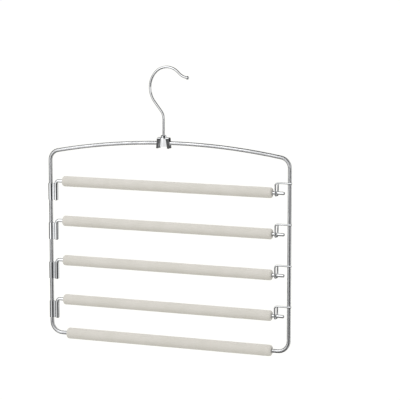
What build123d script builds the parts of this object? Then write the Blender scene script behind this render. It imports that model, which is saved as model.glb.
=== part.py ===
from build123d import *
import math
import os

os.makedirs("parts", exist_ok=True)

# A five tier trouser hanger. +Z is up, +X is to the right and +Y is to the back.
# The origin is the rail seat, the underside of the hook's crown.

# Frame loop, measured on the centreline of its wire
frame_width = 369.0
frame_wire_d = 5.5
top_bar_drop = 106.5  # rail seat to the top of the arched bar
arch_radius = 970.0
arch_offset = 14.0  # the arch's centre stands right of the frame's middle
top_corner_r = 15.0
bottom_corner_r = 16.0

# Tiers: swing arms above, the frame's own bottom bar below
arm_count = 4
first_arm_drop = 63.3  # top of the arched bar to the first arm
tier_pitch = 58.5
bottom_bar_drop = 50.4  # last arm to the bottom bar

# Swing arms
arm_wire_d = 4.8
arm_bend_r = 4.4
leg_offset = 8.4  # frame rod to the arm's leg, centre to centre
leg_length = 29.0
tip_inset = 7.5  # arm's tip to the right rod's centre
tip_round = 1.0

# Foam sleeves
foam_d = 15.5
foam_end_r = 3.0
foam_start = 11.7  # arm's leg to the foam's left end
foam_stop = 18.0  # arm's tip to the foam's right end
bottom_foam_d = 16.5
bottom_foam_margin = 25.3  # rod's centre to the end of the bottom foam
foam_grip_gap = 0.05

# Pivot clips, strips of sheet rolled round the rod and round the arm's leg
clip_sheet = 0.8
clip_height = 24.2
clip_top_drop = 3.9  # arm's centreline to the clip's upper edge
clip_layer_gap = 0.2
clip_seam = 0.6
clip_root_r = 0.5
running_gap = 0.05

# Rest hooks, thin wires welded across the front of the right rod
rest_wire_d = 2.5
rest_bend_r = 3.5
rest_rise = 14.8  # arm's centreline to the rest hook's level wire
rest_stub = 4.2  # rod's centre to the wire's cut end
rest_reach = 20.0  # rod's centre to the hanging legs
rest_width = 12.0  # front leg to rear leg, centre to centre
rest_rear_rise = 11.2  # arm's centreline to the top of the rear leg
rest_seat_gap = 0.1  # arm's underside to the rest hook's bottom bend
weld_sink = 0.15

# Swivel hook
hook_wire_d = 3.6
hook_stem_offset = 5.5  # the stem stands left of the crown's centre
hook_neck_angle = 38.0
hook_neck_r = 18.0
hook_side_r = 33.0
hook_side_angle = 40.0
hook_crown_r = 24.0
hook_crown_end = 47.0
hook_tip_r = 22.0
hook_tip_angle = 40.0
hook_ball_d = 5.2
stem_head_inset = 0.8  # edge of the collar's foot to the edge of the stem's head
stem_head_height = 2.2
stem_head_chamfer = 0.4

# Collar that the stem turns in, with a neck that the bracket grips between its ring and its foot
collar_ring_d = 8.2
collar_ring_height = 3.2
collar_ring_chamfer = 0.6
collar_wall = 0.85
collar_foot_step = 0.9  # neck's side to the foot's side
collar_body_height = 4.0
collar_fit_gap = 0.1

# Bracket, two pressed shells with a wall before and behind the wire's ends
bracket_sheet = 1.0
bracket_top_width = 17.8
bracket_bottom_width = 20.6
bracket_height = 15.5
bracket_corner_r = 0.8
bracket_bend_r = 1.2  # outside of the fold along the upper edge
wall_gap = 0.2  # wire to the inside of each wall
bell_top_d = 11.4
bell_top_round = 1.5
bell_mouth_d = 14.8
bell_mouth_rise = 3.1  # wall's lower edge to the bell's mouth
notch_width = 13.0  # between the two ears under the bell's mouth
wire_end_gap = 4.2  # stem's axis to each end of the frame wire

# Positions worked out from the sizes above
half_width = frame_width / 2
frame_r = frame_wire_d / 2
arm_r = arm_wire_d / 2
rest_r = rest_wire_d / 2
hook_r = hook_wire_d / 2
stem_x = -hook_stem_offset
arch_centre_z = -top_bar_drop - arch_radius
leg_x = -half_width + leg_offset
tip_x = half_width - tip_inset
arm_levels = [-top_bar_drop - first_arm_drop - tier_pitch * tier for tier in range(arm_count)]
bottom_z = arm_levels[-1] - bottom_bar_drop


def front_point(x, z):
    """A point in the hanger's own plane."""
    return Vector(x, 0, z)


def arch_level(x):
    """Height of the arched bar's centreline at x."""
    return arch_centre_z + math.sqrt(arch_radius**2 - (x - arch_offset) ** 2)


def bent_wire(path, radius):
    """A round wire of one radius along a smooth path."""
    section = Plane(origin=path @ 0, z_dir=path % 0) * Circle(radius)
    return sweep(section, path=path)


def save(node, solid):
    export_step(solid, f"parts/{node}.step")


# Frame wire: one bent loop whose two ends meet inside the bracket
def frame_side(side):
    """The arch, top corner, rod and bottom corner of one side, from the bracket down."""
    corner_x = side * (half_width - top_corner_r)
    corner_run = corner_x - arch_offset
    corner_rise = math.sqrt((arch_radius - top_corner_r) ** 2 - corner_run**2)
    corner_z = arch_centre_z + corner_rise
    arch_end_x = arch_offset + corner_run * arch_radius / (arch_radius - top_corner_r)
    start_x = stem_x + side * wire_end_gap
    middle_x = (start_x + arch_end_x) / 2
    arch = ThreePointArc(
        front_point(start_x, arch_level(start_x)),
        front_point(middle_x, arch_level(middle_x)),
        front_point(arch_end_x, arch_level(arch_end_x)),
    )
    half_turn = math.atan2(corner_rise, side * corner_run) / 2
    top_corner = ThreePointArc(
        arch @ 1,
        front_point(
            corner_x + side * top_corner_r * math.cos(half_turn),
            corner_z + top_corner_r * math.sin(half_turn),
        ),
        front_point(side * half_width, corner_z),
    )
    rod = Line(top_corner @ 1, front_point(side * half_width, bottom_z + bottom_corner_r))
    inset = bottom_corner_r * (1 - math.sin(math.radians(45)))
    bottom_corner = ThreePointArc(
        rod @ 1,
        front_point(side * (half_width - inset), bottom_z + inset),
        front_point(side * (half_width - bottom_corner_r), bottom_z),
    )
    return [arch, top_corner, rod, bottom_corner]


right_side = frame_side(1)
left_side = frame_side(-1)
bottom_bar = Line(right_side[-1] @ 1, left_side[-1] @ 1)
frame_path = Wire([*right_side, bottom_bar, *left_side])
save("frame_wire", bent_wire(frame_path, frame_r))


# Foam sleeves: tubes with rounded ends that grip the wire
def foam_sleeve(left_x, right_x, level, foam_radius, wire_radius):
    length = right_x - left_x
    tube = Cylinder(foam_radius, length, rotation=(0, 90, 0))
    tube = fillet(tube.edges().filter_by(GeomType.CIRCLE), foam_end_r)
    tube -= Cylinder(wire_radius + foam_grip_gap, length, rotation=(0, 90, 0))
    return Pos((left_x + right_x) / 2, 0, level) * tube


bottom_foam_x = half_width - bottom_foam_margin
save(
    "bottom_foam_sleeve",
    foam_sleeve(-bottom_foam_x, bottom_foam_x, bottom_z, bottom_foam_d / 2, frame_r),
)
for number, level in enumerate(arm_levels, start=1):
    sleeve = foam_sleeve(leg_x + foam_start, tip_x - foam_stop, level, foam_d / 2, arm_r)
    save(f"foam_sleeve_{number}", sleeve)


# Arm wires: a short leg down into the clip, one bend, and a straight bar
def arm_wire(level):
    path = FilletPolyline(
        front_point(leg_x, level - leg_length),
        front_point(leg_x, level),
        front_point(tip_x, level),
        radius=arm_bend_r,
    )
    wire = bent_wire(path, arm_r)
    ends = wire.faces().filter_by(GeomType.PLANE)
    return fillet(ends.edges(), tip_round)


for number, level in enumerate(arm_levels, start=1):
    save(f"arm_wire_{number}", arm_wire(level))


# Pivot clips: one strip rolled round both wires, with its two layers pinched between them
def pivot_clip(level):
    rod_bore = frame_r + running_gap
    leg_bore = arm_r + running_gap
    waist = 2 * clip_sheet + clip_layer_gap
    rod_place = Pos(-half_width, 0)
    leg_place = Pos(leg_x, 0)
    outline = rod_place * Circle(rod_bore + clip_sheet) + leg_place * Circle(leg_bore + clip_sheet)
    outline += Pos(leg_x - leg_offset / 2, 0) * Rectangle(leg_offset, waist)
    roots = outline.vertices().filter_by(lambda v: abs(abs(v.Y) - waist / 2) < clip_layer_gap)
    outline = fillet(roots, clip_root_r)
    outline -= rod_place * Circle(rod_bore) + leg_place * Circle(leg_bore)
    outline -= Pos(leg_x - leg_offset / 2, 0) * Rectangle(leg_offset, clip_layer_gap)
    seam_place = Pos(-half_width - rod_bore - clip_sheet / 2, 0)
    outline -= seam_place * Rectangle(2 * clip_sheet, clip_seam)
    bottom = level - clip_top_drop - clip_height
    return extrude(Pos(0, 0, bottom) * outline, clip_height)


for number, level in enumerate(arm_levels, start=1):
    save(f"pivot_clip_{number}", pivot_clip(level))


# Rest hooks: level wire across the rod's front, then a U that passes under the arm
def rest_hook(level):
    front_y = -(frame_r + rest_r - weld_sink)
    rear_y = front_y + rest_width
    legs_x = half_width - rest_reach
    sill = level - arm_r - rest_seat_gap - rest_r
    path = FilletPolyline(
        Vector(half_width + rest_stub, front_y, level + rest_rise),
        Vector(legs_x, front_y, level + rest_rise),
        Vector(legs_x, front_y, sill),
        Vector(legs_x, rear_y, sill),
        Vector(legs_x, rear_y, level + rest_rear_rise),
        radius=rest_bend_r,
    )
    return bent_wire(path, rest_r)


for number, level in enumerate(arm_levels, start=1):
    save(f"rest_hook_{number}", rest_hook(level))

# Bracket sizes that the collar and the hook's stem seat on
bracket_top = arch_level(stem_x) + bracket_height / 2
collar_bore_r = hook_r + running_gap
collar_neck_r = collar_bore_r + collar_wall
collar_foot_r = collar_neck_r + collar_foot_step
head_top = bracket_top - collar_body_height - running_gap
stem_head_r = collar_foot_r - stem_head_inset


# Swivel hook: stem, neck bend, side, crown and a reversed tip that ends in a ball
def swivel_hook():
    neck = math.radians(hook_neck_angle)
    side = math.radians(hook_side_angle)
    crown_z = hook_r - hook_crown_r
    side_x = -hook_side_r + (hook_side_r - hook_crown_r) * math.cos(side)
    side_z = crown_z - (hook_side_r - hook_crown_r) * math.sin(side)
    neck_turn_x = (hook_neck_r + hook_side_r) * (1 - math.cos(neck))
    neck_run = (stem_x - neck_turn_x - side_x) / math.sin(neck)
    neck_turn_z = (hook_neck_r + hook_side_r) * math.sin(neck)
    neck_z = side_z - neck_turn_z - neck_run * math.cos(neck)
    stem = Line((stem_x, head_top - stem_head_height / 2), (stem_x, neck_z))
    neck_bend = JernArc(stem @ 1, stem % 1, hook_neck_r, hook_neck_angle)
    neck_line = Line(neck_bend @ 1, neck_bend @ 1 + (neck_bend % 1) * neck_run)
    side_arc = JernArc(
        neck_line @ 1, neck_line % 1, hook_side_r, -(hook_neck_angle + hook_side_angle)
    )
    crown_turn = 90 - hook_side_angle + hook_crown_end
    crown_arc = JernArc(side_arc @ 1, side_arc % 1, hook_crown_r, -crown_turn)
    tip_arc = JernArc(crown_arc @ 1, crown_arc % 1, hook_tip_r, hook_tip_angle)
    outline = Wire([stem, neck_bend, neck_line, side_arc, crown_arc, tip_arc])
    path = Plane.XZ * outline
    ball = Pos(path @ 1) * Sphere(hook_ball_d / 2)
    head = Cylinder(stem_head_r, stem_head_height)
    head = chamfer(head.edges().filter_by(GeomType.CIRCLE), stem_head_chamfer)
    head = Pos(stem_x, 0, head_top - stem_head_height / 2) * head
    return bent_wire(path, hook_r) + ball + head


save("swivel_hook", swivel_hook())


# Collar: a turned bush that the stem runs through, its ring on the bracket and its foot inside
def swivel_collar():
    ring = Cylinder(collar_ring_d / 2, collar_ring_height)
    ring = chamfer(ring.edges().filter_by(GeomType.CIRCLE).sort_by(Axis.Z)[-1], collar_ring_chamfer)
    ring = Pos(0, 0, collar_ring_height / 2) * ring
    neck = Pos(0, 0, -collar_body_height / 2) * Cylinder(collar_neck_r, collar_body_height)
    foot_height = collar_body_height - bracket_sheet - collar_fit_gap
    foot = Pos(0, 0, foot_height / 2 - collar_body_height) * Cylinder(collar_foot_r, foot_height)
    bore_height = 2 * (collar_body_height + collar_ring_height)
    collar = ring + neck + foot - Cylinder(collar_bore_r, bore_height)
    return Pos(stem_x, 0, bracket_top) * collar


save("swivel_collar", swivel_collar())


# Bracket shells: a flat wall with two ears, folded over at the top, and a bell pressed out of it
def bell(inset, overrun):
    """The bell as a solid cone about the stem, set in by the sheet and run past its mouth."""
    top_z = bracket_height / 2
    mouth_z = bell_mouth_rise - top_z
    taper_share = (bell_mouth_d - bell_top_d) / 2 / (top_z - mouth_z)
    top_x = bell_top_d / 2 - inset + taper_share * inset
    mouth_x = bell_mouth_d / 2 - inset + taper_share * overrun
    half = make_face(
        Polyline(
            (0, top_z - inset),
            (top_x, top_z - inset),
            (mouth_x, mouth_z - overrun),
            (0, mouth_z - overrun),
            close=True,
        )
    )
    shoulder = half.vertices().group_by(Axis.Y)[-1].sort_by(Axis.X)[-1]
    half = fillet(shoulder, bell_top_round - inset)
    return revolve(Plane.XZ * half, Axis.Z)


def bracket_shell(side):
    """One pressed shell. side is -1 for the front shell and 1 for the rear one."""
    top_z = bracket_height / 2
    notch_x = notch_width / 2
    notch_z = bell_mouth_rise - top_z
    flat = make_face(
        Polyline(
            (-bracket_bottom_width / 2, -top_z),
            (-notch_x, -top_z),
            (-notch_x, notch_z),
            (notch_x, notch_z),
            (notch_x, -top_z),
            (bracket_bottom_width / 2, -top_z),
            (bracket_top_width / 2, top_z),
            (-bracket_top_width / 2, top_z),
            close=True,
        )
    )
    lower_corners = flat.vertices().sort_by(Axis.Y)[:-2]
    flat = fillet(lower_corners, bracket_corner_r)
    inside = frame_r + wall_gap
    block = extrude(Plane.XZ * flat, -side * (inside + bracket_sheet))
    upper_edges = block.edges().filter_by(Axis.X).group_by(Axis.Z)[-1].sort_by(Axis.Y)
    block = fillet(upper_edges[0] if side < 0 else upper_edges[-1], bracket_bend_r)
    half_space = Pos(0, side * bell_mouth_d / 2, 0) * Box(2 * bell_mouth_d, bell_mouth_d, 2 * bracket_height)
    shell = block + (bell(0, 0) & half_space)
    shell -= Pos(0, 0, -bracket_sheet) * Box(2 * bracket_bottom_width, 2 * inside, bracket_height)
    shell -= bell(bracket_sheet, bracket_sheet)
    shell -= Cylinder(collar_neck_r + collar_fit_gap, 2 * bracket_height)
    return Pos(stem_x, 0, arch_level(stem_x)) * shell


save("bracket_front", bracket_shell(-1))
save("bracket_back", bracket_shell(1))
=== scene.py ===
import math

import bmesh
import bpy
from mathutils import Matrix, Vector, noise


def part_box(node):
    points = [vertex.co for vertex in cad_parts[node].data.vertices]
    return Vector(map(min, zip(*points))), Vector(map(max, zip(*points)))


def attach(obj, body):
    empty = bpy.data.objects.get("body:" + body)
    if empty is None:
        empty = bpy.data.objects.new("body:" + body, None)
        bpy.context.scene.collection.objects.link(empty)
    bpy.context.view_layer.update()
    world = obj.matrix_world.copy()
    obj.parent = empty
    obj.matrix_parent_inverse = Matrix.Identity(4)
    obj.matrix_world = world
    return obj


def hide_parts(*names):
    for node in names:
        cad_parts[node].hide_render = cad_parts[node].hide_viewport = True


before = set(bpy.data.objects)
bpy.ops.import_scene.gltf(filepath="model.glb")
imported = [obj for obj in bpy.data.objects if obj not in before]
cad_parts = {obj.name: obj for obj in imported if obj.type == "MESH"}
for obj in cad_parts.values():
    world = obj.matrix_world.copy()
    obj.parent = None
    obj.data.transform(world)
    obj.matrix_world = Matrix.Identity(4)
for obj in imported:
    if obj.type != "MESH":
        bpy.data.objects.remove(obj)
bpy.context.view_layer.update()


# Frame wire
# One loop of 5.5 mm steel wire with an arched top bar, bent to its corners and then chrome plated.
# The drawing die leaves faint lines along it, and the plate is a little cloudy here and there.
class Signal:
    """One output of a node. Arithmetic on it adds Math nodes."""

    def __init__(self, finish, socket):
        self.finish = finish
        self.socket = socket

    def math(self, operation, first, second):
        return self.finish.node("ShaderNodeMath", {"operation": operation}, {0: first, 1: second})

    def __add__(self, other):
        return self.math("ADD", self, other)

    def __sub__(self, other):
        return self.math("SUBTRACT", self, other)

    def __rsub__(self, other):
        return self.math("SUBTRACT", other, self)

    def __mul__(self, other):
        return self.math("MULTIPLY", self, other)

    __radd__ = __add__
    __rmul__ = __mul__


class Finish:
    """A material, or the world, as it is being put together."""

    def __init__(self, owner):
        self.owner = owner
        owner.use_nodes = True
        self.tree = owner.node_tree
        self.tree.nodes.clear()

    def node(self, kind, settings=None, values=None, output=0):
        """Adds a node: its settings first, then the values or links of its sockets."""
        made = self.tree.nodes.new(kind)
        for name, value in (settings or {}).items():
            setattr(made, name, value)
        for name, value in (values or {}).items():
            if isinstance(value, Signal):
                self.tree.links.new(value.socket, made.inputs[name])
            else:
                made.inputs[name].default_value = value
        return Signal(self, made.outputs[output]) if made.outputs else None


def object_place(finish):
    return finish.node("ShaderNodeTexCoord", output="Object")


def stretched(finish, place, shares):
    """Place with each axis scaled by its share: a noise read there is long where the share is small."""
    return finish.node("ShaderNodeVectorMath", {"operation": "MULTIPLY"}, {0: place, 1: shares})


def grain(finish, place, scale, detail, roughness=0.5):
    """Noise from about 0.3 to 0.7, in a space where 1 is a metre before scale."""
    values = {"Vector": place, "Scale": scale, "Detail": detail, "Roughness": roughness}
    return finish.node("ShaderNodeTexNoise", {"noise_dimensions": "3D"}, values)


def steps(finish, signal, low, high):
    """0 below low, 1 above high, and a straight ramp between them."""
    values = {"Value": signal, "From Min": low, "From Max": high}
    return finish.node("ShaderNodeMapRange", {"clamp": True}, values)


def blend_colours(finish, share, first, second):
    """The Mix node's sockets go by number, because those for numbers and for colours share their names."""
    share_socket, first_socket, second_socket, colour_output = 0, 6, 7, 2
    settings = {"data_type": "RGBA", "clamp_factor": True}
    values = {share_socket: share, first_socket: first, second_socket: second}
    return finish.node("ShaderNodeMix", settings, values, output=colour_output)


def surface(finish, colour, roughness, height, depth, metallic, **constants):
    """A material's shader: colour, roughness and height vary over it, and the rest are plain values."""
    normal = finish.node("ShaderNodeBump", None, {"Strength": 1.0, "Distance": depth, "Height": height})
    values = {"Base Color": colour, "Roughness": roughness, "Normal": normal, "Metallic": metallic}
    values.update({name.replace("_", " "): value for name, value in constants.items()})
    shader = finish.node("ShaderNodeBsdfPrincipled", None, values)
    finish.node("ShaderNodeOutputMaterial", None, {"Surface": shader})


# lengths are in metres, and a scale counts the grains in a metre
mm = 0.001
plate_cloud_scale = 60
plate_cloud_dulls_from, plate_cloud_dulls_to = 0.42, 0.66
plate_cloud_dulling = 0.6
plate_cloud_hazes_from, plate_cloud_hazes_to = 0.35, 0.70
plate_cloud_haze = 0.5
plate_speck_scale = 900
plate_speck_from, plate_speck_to = 0.70, 0.76
plate_speck_dulling = 0.4
plate_speck_haze = 0.05
plate_dull_share = 0.86
drawn_line_scale = 2600
drawn_line_depth = 0.0006 * mm


def chrome_plate(name, along, tint, haze):
    """Bright chrome. along gives the shares of x, y and z by which the drawn lines are stretched."""
    finish = Finish(bpy.data.materials.new(name))
    place = object_place(finish)
    clouds = grain(finish, place, plate_cloud_scale, detail=4)
    lines = grain(finish, stretched(finish, place, along), drawn_line_scale, detail=2)
    fine = grain(finish, place, plate_speck_scale, detail=1)
    specks = steps(finish, fine, plate_speck_from, plate_speck_to)
    dulling = steps(finish, clouds, plate_cloud_dulls_from, plate_cloud_dulls_to) * plate_cloud_dulling
    bright = (*tint, 1)
    dull = (*(plate_dull_share * share for share in tint), 1)
    colour = blend_colours(finish, dulling + specks * plate_speck_dulling, bright, dull)
    clouding = steps(finish, clouds, plate_cloud_hazes_from, plate_cloud_hazes_to)
    roughness = clouding * (plate_cloud_haze * haze) + specks * plate_speck_haze + haze
    surface(finish, colour, roughness, lines, drawn_line_depth, metallic=1.0)
    return finish.owner


def dress(node, material):
    """Gives a CAD piece its material, and shades its curved faces as smooth."""
    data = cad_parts[node].data
    data.materials.clear()
    data.materials.append(material)
    for polygon in data.polygons:
        polygon.use_smooth = True


frame_chrome = chrome_plate("frame_chrome", along=(1, 1, 0.02), tint=(0.63, 0.635, 0.645), haze=0.30)
dress("frame_wire", frame_chrome)

# Bracket shells
# Two shells pressed from 1 mm steel and chrome plated, one before and one behind the frame wire's ends.
# Each is folded over along its upper edge to meet the other, and has a bell pressed out round the stem.
bracket_steel = chrome_plate("bracket_steel", along=(1, 1, 0.1), tint=(0.80, 0.81, 0.82), haze=0.03)
for shell in ("bracket_front", "bracket_back"):
    dress(shell, bracket_steel)

# Collar
# A small ring turned from steel and chrome plated, with turning marks that run round the stem.
# The two shells grip its neck, and the hook's stem turns in it.
collar_chrome = chrome_plate("collar_chrome", along=(0.1, 0.1, 1), tint=(0.80, 0.81, 0.825), haze=0.04)
dress("swivel_collar", collar_chrome)

# Swivel hook
# One length of 3.6 mm chrome plated wire: stem, neck, side, crown and a reversed tip with a ball end.
# The stem's upset head sits inside the bracket, under the collar, and carries the whole hanger.
hook_chrome = chrome_plate("hook_chrome", along=(0.4, 1, 0.4), tint=(0.68, 0.685, 0.695), haze=0.10)
dress("swivel_hook", hook_chrome)

# Rest hooks
# Thin chrome plated wires, welded across the front of the right rod. Each one's U carries an arm's tip.
# The weld leaves a small flattened bead between the two wires where they cross.
tiers = range(1, 5)
rest_hook_tint = (0.68, 0.69, 0.70)
rest_hook_chrome = chrome_plate("rest_hook_chrome", along=(0.5, 0.5, 0.5), tint=rest_hook_tint, haze=0.05)
rest_wire_d = 2.5 * mm
weld_reach = Vector((1.3, 0.45, 1.0)) * mm
weld_inset = 0.05 * mm
weld_raggedness = 0.12
# how close the lumps lie, and how much further on each bead reads the noise that makes them
weld_lump_scale = 1.7
weld_lump_step = 5.1


def scene_piece(name, mesh, material):
    """A new object from a bmesh, smooth and in one material."""
    data = bpy.data.meshes.new(name)
    mesh.to_mesh(data)
    mesh.free()
    for polygon in data.polygons:
        polygon.use_smooth = True
    data.materials.append(material)
    made = bpy.data.objects.new(name, data)
    bpy.context.scene.collection.objects.link(made)
    return made


def weld_bead(number):
    """A ragged flattened ball at the front of the right rod, level with the rest hook's upper wire."""
    rest_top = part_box(f"rest_hook_{number}")[1].z
    rod_low, rod_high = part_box("frame_wire")
    rod_r = -rod_low.y
    middle = Vector((rod_high.x - rod_r, weld_inset - rod_r, rest_top - rest_wire_d / 2))
    shift = Vector((0, 0, weld_lump_step * number))
    bead = bmesh.new()
    bmesh.ops.create_uvsphere(bead, u_segments=20, v_segments=12, radius=1)
    for corner in bead.verts:
        swell = 1 + weld_raggedness * noise.noise(corner.co * weld_lump_scale + shift)
        corner.co = middle + Vector(reach * share * swell for reach, share in zip(weld_reach, corner.co))
    made = scene_piece(f"weld_bead_{number}", bead, rest_hook_chrome)
    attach(made, "frame")


for tier in tiers:
    dress(f"rest_hook_{tier}", rest_hook_chrome)
    weld_bead(tier)

# Pivot clips
# Strips of chrome plated sheet, each rolled round the left rod and round an arm's leg.
# The strip's two layers are pinched flat between them, and the clip turns on the rod.
clip_steel = chrome_plate("clip_steel", along=(1, 1, 0.05), tint=(0.80, 0.81, 0.82), haze=0.03)
for tier in tiers:
    dress(f"pivot_clip_{tier}", clip_steel)

# Arm wires
# 4.8 mm chrome plated wire with a short leg that stands in the clip, one tight bend and a straight bar.
# The bar's tip comes out of the foam and lies in the U of a rest hook.
arm_chrome = chrome_plate("arm_chrome", along=(0.02, 1, 1), tint=(0.77, 0.78, 0.79), haze=0.10)
for tier in tiers:
    dress(f"arm_wire_{tier}", arm_chrome)

# Foam sleeves
# Tubes of pale closed cell foam pushed on to the arms and the bottom bar. The skin is matt with fine
# pores, the cut ends are rounded and grip the wire, and the diameter wanders a little along the tube.
# The tone wanders at random, and the pores are painted darker: painted shade in their hollows.
foam_skin = (0.70, 0.672, 0.625, 1)
# the darker colour: random tone for the clouds and mottle, and painted shade for the pores
foam_tone_and_pore_shade = (0.62, 0.60, 0.54, 1)
foam_cloud_scale = 45
foam_cloud_from, foam_cloud_to = 0.35, 0.65
foam_cloud_darkening = 0.35
foam_mottle_scale = 420
foam_mottle_from, foam_mottle_to = 0.40, 0.72
foam_mottle_darkening = 0.16
foam_pore_scale = 1500
foam_pore_from, foam_pore_to = 0.12, 0.42
# painted shade: how much darker the pores' hollows are painted
foam_pore_painted_shade = 0.25
foam_roughness = 0.78
foam_roughness_from, foam_roughness_to = 0.30, 0.70
foam_roughness_wander = 0.14
foam_skin_depth = 0.12 * mm
foam_mottle_height = 0.6
foam_pore_height = 0.5

arm_wire_r = 2.4 * mm
frame_wire_r = 2.75 * mm
foam_bore_gap = 0.02 * mm
foam_sides = 72
foam_ring_pitch = 4 * mm
foam_edge_r = 3.0 * mm
foam_edge_rings = 7
foam_dish = 0.7 * mm
# the ring in the end face: its share of the dish, and of the way from the bore to the rounded edge
foam_face_ring_dish = 0.25
foam_face_ring_place = 0.3
foam_wander = 0.16 * mm
foam_waves = (
    # (length along the tube, share round it, step from sleeve to sleeve, strength)
    (14 * mm, 0.5, 7.3, 0.8),
    (5 * mm, 1.6, 3.1, 0.35),
)
bottom_foam_number = 9


def foam_finish():
    finish = Finish(bpy.data.materials.new("foam"))
    place = object_place(finish)
    clouds = grain(finish, place, foam_cloud_scale, detail=3)
    mottle = grain(finish, place, foam_mottle_scale, detail=4, roughness=0.6)
    cell_values = {"Vector": place, "Scale": foam_pore_scale}
    cells = finish.node("ShaderNodeTexVoronoi", {"feature": "F1"}, cell_values)
    pores = 1 - steps(finish, cells, foam_pore_from, foam_pore_to)
    clouding = steps(finish, clouds, foam_cloud_from, foam_cloud_to) * foam_cloud_darkening
    mottling = steps(finish, mottle, foam_mottle_from, foam_mottle_to) * foam_mottle_darkening
    # clouds and mottle darken the skin at random; the pores are painted darker as painted shade
    colour = blend_colours(finish, clouding + mottling + pores * foam_pore_painted_shade, foam_skin, foam_tone_and_pore_shade)
    roughening = steps(finish, mottle, foam_roughness_from, foam_roughness_to)
    roughness = roughening * foam_roughness_wander + foam_roughness
    height = mottle * foam_mottle_height + (1 - pores) * foam_pore_height
    surface(finish, colour, roughness, height, foam_skin_depth, metallic=0.0,
            Sheen_Weight=0.12, Sheen_Roughness=0.5)
    return finish.owner


foam_material = foam_finish()


def foam_outline(half, radius, bore):
    """The tube's outline as (x, radius): the right face and rounded edge, the flank, and the left ones."""
    inner = half - foam_edge_r
    edge = []
    for step in range(foam_edge_rings + 1):
        turn = math.radians(90) * step / foam_edge_rings
        edge_x = half - foam_edge_r * (1 - math.sin(turn))
        edge.append((edge_x, radius - foam_edge_r * (1 - math.cos(turn))))
    face_width = radius - foam_edge_r - bore
    mouth = (half - foam_dish, bore)
    face_ring = (half - foam_face_ring_dish * foam_dish, bore + foam_face_ring_place * face_width)
    right_end = [mouth, face_ring] + edge[::-1]
    count = max(2, round(2 * inner / foam_ring_pitch))
    flank = [(inner - 2 * inner * step / count, radius) for step in range(1, count)]
    left_end = [(-x, r) for x, r in right_end[::-1]]
    return right_end + flank + left_end


def foam_swell(along, out, number):
    """How far the flank wanders at one place, as a share of foam_wander."""
    swell = 0.0
    for length, round_share, sleeve_step, strength in foam_waves:
        spot = along / length + out * round_share + Vector((0, 0, sleeve_step * number))
        swell += noise.noise(spot) * strength
    return swell


def foam_sleeve(node, body, wire_r, number):
    """The foam in place of a plain CAD sleeve. It wanders most on its flank, and not at all at the bore."""
    low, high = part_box(node)
    centre = (low + high) / 2
    radius = (high.z - low.z) / 2 - foam_wander
    bore = wire_r + foam_bore_gap
    face_width = radius - foam_edge_r - bore
    mesh = bmesh.new()
    rings = []
    for x, ring_r in foam_outline((high.x - low.x) / 2, radius, bore):
        along = Vector((x, 0, 0))
        freedom = min(1.0, (ring_r - bore) / face_width)
        ring = []
        for side in range(foam_sides):
            turn = 2 * math.pi * side / foam_sides
            out = Vector((0, math.cos(turn), math.sin(turn)))
            reach = ring_r + foam_wander * freedom * foam_swell(along, out, number)
            ring.append(mesh.verts.new(centre + along + out * reach))
        rings.append(ring)
    rings.append(rings[0])
    for first, second in zip(rings, rings[1:]):
        for side in range(foam_sides):
            after = (side + 1) % foam_sides
            mesh.faces.new((first[side], first[after], second[after], second[side]))
    bmesh.ops.recalc_face_normals(mesh, faces=mesh.faces)
    sleeve = scene_piece(f"{node}_soft", mesh, foam_material)
    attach(sleeve, body)
    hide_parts(node)


for tier in tiers:
    foam_sleeve(f"foam_sleeve_{tier}", f"arm_{tier}", arm_wire_r, number=tier)
foam_sleeve("bottom_foam_sleeve", "frame", frame_wire_r, number=bottom_foam_number)

# Floor and surroundings
# The hanger hangs from a rail, so the pale floor lies well below it. Camera, mirror and glass rays
# see the room as plain white.
floor_level = -1.25
floor_half = 30.0
floor_colour = (0.80, 0.80, 0.77, 1)
floor_glow = 0.30
white = (1, 1, 1, 1)
daylight_level = 0.92
backdrop_level = 1.0


def seen_directly(finish):
    """1 for rays that show the background itself: from the camera, or mirrored or passed on to it."""
    camera_ray, mirror_ray, glass_ray = (
        finish.node("ShaderNodeLightPath", output=name)
        for name in ("Is Camera Ray", "Is Glossy Ray", "Is Transmission Ray")
    )
    either = finish.node("ShaderNodeMath", {"operation": "MAXIMUM"}, {0: mirror_ray, 1: glass_ray})
    return finish.node("ShaderNodeMath", {"operation": "MAXIMUM"}, {0: camera_ray, 1: either})


def floor_finish():
    finish = Finish(bpy.data.materials.new("pale_floor"))
    plain = finish.node("ShaderNodeBsdfDiffuse", None, {"Color": floor_colour})
    glow = finish.node("ShaderNodeEmission", None, {"Color": seen_directly(finish), "Strength": floor_glow})
    both = finish.node("ShaderNodeAddShader", None, {0: plain, 1: glow})
    finish.node("ShaderNodeOutputMaterial", None, {"Surface": both})
    return finish.owner


def stage_piece(name, corners, faces, material):
    """A piece of the studio, which is no part of the hanger."""
    data = bpy.data.meshes.new(name)
    data.from_pydata(corners, [], faces)
    data.materials.append(material)
    made = bpy.data.objects.new(name, data)
    bpy.context.scene.collection.objects.link(made)
    return made


floor_signs = ((-1, -1), (1, -1), (1, 1), (-1, 1))
floor_corners = [(x * floor_half, y * floor_half, floor_level) for x, y in floor_signs]
stage_piece("floor", floor_corners, [(0, 1, 2, 3)], floor_finish())

world = bpy.data.worlds.new("room")
bpy.context.scene.world = world
room = Finish(world)
backdrop = room.node("ShaderNodeBackground", None, {"Color": white, "Strength": backdrop_level})
daylight = room.node("ShaderNodeBackground", None, {"Color": white, "Strength": daylight_level})
shown = room.node("ShaderNodeMixShader", None, {0: seen_directly(room), 1: daylight, 2: backdrop})
room.node("ShaderNodeOutputWorld", None, {"Surface": shown})

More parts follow.
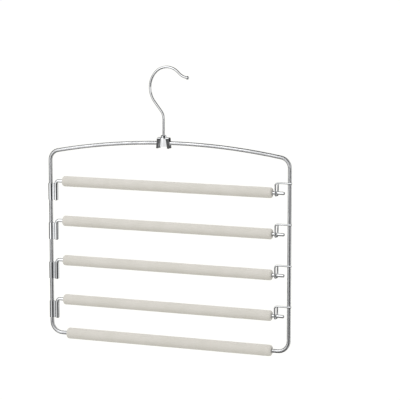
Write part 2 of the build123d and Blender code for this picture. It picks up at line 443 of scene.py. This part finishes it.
# Studio screen
# A ball shaped screen stands round the hanger, as in a product studio. It is white, with soft edged
# panels, most of them dark and a few bright, that draw the wires' lines. Only mirror rays meet it.
screen_centre = Vector((0, 0, -0.19))
screen_radius = 1.0
screen_white = 1.0
half_turn = 180
panels = {
    # name: (level, degrees round the hanger from and to, degrees up from and to, softness in degrees)
    "strip_light": (2.30, -56, -2, -2, 78, 6),
    "strip_waist": (1.05, -56, -2, 2, 14, 3),
    "strip_foot": (1.00, -58, -24, -51, -2, 6),
    "left": (0.03, -135, -56, -46, 1, 6),
    "left_high": (0.08, -130, -66, 1, 66, 8),
    "middle": (0.36, -24, 15, -46, 1, 5),
    "black": (0.01, 15, 80, -46, 2, 4),
    "right": (0.85, 80, 124, -46, 60, 5),
    "black_high": (0.02, 30, 90, 18, 58, 8),
    "back": (0.05, 146, 170, -40, 24, 8),
    "behind": (0.22, 188, 218, -40, 16, 8),
    "back_high": (0.16, 80, 280, 50, 100, 16),
    "ceiling": (0.05, -200, 200, 60, 100, 10),
    "low": (0.05, -200, 200, -95, -51, 8),
    "clip_light": (1.40, -58, -4, -14, -3, 3),
    "spot": (0.12, -26, -17, -8, 1, 2),
}


def within(finish, angle, low, high, softness):
    """1 where an angle in degrees lies between low and high, 0 elsewhere, with soft edges."""
    ends = {0: angle - (low + high) / 2, 1: half_turn, 2: -half_turn}
    wrapped = finish.node("ShaderNodeMath", {"operation": "WRAP"}, ends)
    off = finish.node("ShaderNodeMath", {"operation": "ABSOLUTE"}, {0: wrapped})
    reach = (high - low) / 2
    return 1 - steps(finish, off, reach - softness / 2, reach + softness / 2)


def screen_finish():
    """White, with each panel laid over the ones before it."""
    finish = Finish(bpy.data.materials.new("studio_screen"))
    place = {"Vector": object_place(finish)}
    x, y, z = (finish.node("ShaderNodeSeparateXYZ", None, place, output=axis) for axis in "XYZ")
    degree = half_turn / math.pi
    around = finish.node("ShaderNodeMath", {"operation": "ARCTAN2"}, {0: x, 1: y * -1}) * degree
    upwards = finish.node("ShaderNodeMath", {"operation": "ARCSINE"}, {0: z * (1 / screen_radius)}) * degree
    level = screen_white
    for panel_level, left, right, low, high, softness in panels.values():
        share = within(finish, around, left, right, softness) * within(finish, upwards, low, high, softness)
        level = level * (1 - share) + panel_level * share
    light = finish.node("ShaderNodeEmission", None, {"Color": level, "Strength": 1.0})
    finish.node("ShaderNodeOutputMaterial", None, {"Surface": light})
    return finish.owner


ball = bmesh.new()
bmesh.ops.create_icosphere(ball, subdivisions=5, radius=screen_radius)
ball_corners = [corner.co for corner in ball.verts]
ball_faces = [[corner.index for corner in face.verts] for face in ball.faces]
screen = stage_piece("studio_screen", ball_corners, ball_faces, screen_finish())
ball.free()
screen.location = screen_centre
screen.visible_camera = False
screen.visible_diffuse = False
screen.visible_shadow = False

# Lamp
# One large soft square lamp hangs above the hanger, in front of it and a little to its left.
# Mirror rays pass it by, so that the screen alone gives the chrome its lines.
lamp_size = 1.6
lamp_power = 9.0
lamp_place = Vector((-0.5, -1.2, 1.6))
lamp_aim = Vector((0, 0, -0.2))

lamp = bpy.data.lights.new("soft_lamp", "AREA")
lamp.shape = "SQUARE"
lamp.size = lamp_size
lamp.energy = lamp_power
lamp_object = bpy.data.objects.new("soft_lamp", lamp)
lamp_object.location = lamp_place
lamp_object.rotation_euler = (lamp_aim - lamp_place).to_track_quat("-Z", "Y").to_euler()
lamp_object.visible_glossy = False
bpy.context.scene.collection.objects.link(lamp_object)

# Camera
# It stands to the right of the hanger's middle and a little above it, far off with a long lens.
# Its focus is given in pixels of a frame that is photo_px wide.
photo_px = 400
camera_azimuth = math.radians(21.447)
camera_elevation = math.radians(8.556)
camera_distance = 2.7265
camera_focus_px = 1919.2
camera_target = Vector((50.056, 0, -185.954)) * mm
camera_reach = 100
sensor_width = 36.0

back = Vector((
    math.sin(camera_azimuth) * math.cos(camera_elevation),
    -math.cos(camera_azimuth) * math.cos(camera_elevation),
    math.sin(camera_elevation),
))
camera = bpy.data.cameras.new("camera")
camera.sensor_width = sensor_width
camera.lens = camera_focus_px * sensor_width / photo_px
camera.clip_end = camera_reach
camera_object = bpy.data.objects.new("camera", camera)
camera_object.location = camera_target + back * camera_distance
camera_object.rotation_euler = (-back).to_track_quat("-Z", "Y").to_euler()
bpy.context.scene.collection.objects.link(camera_object)
bpy.context.scene.camera = camera_object
bpy.context.scene.view_settings.view_transform = "Standard"
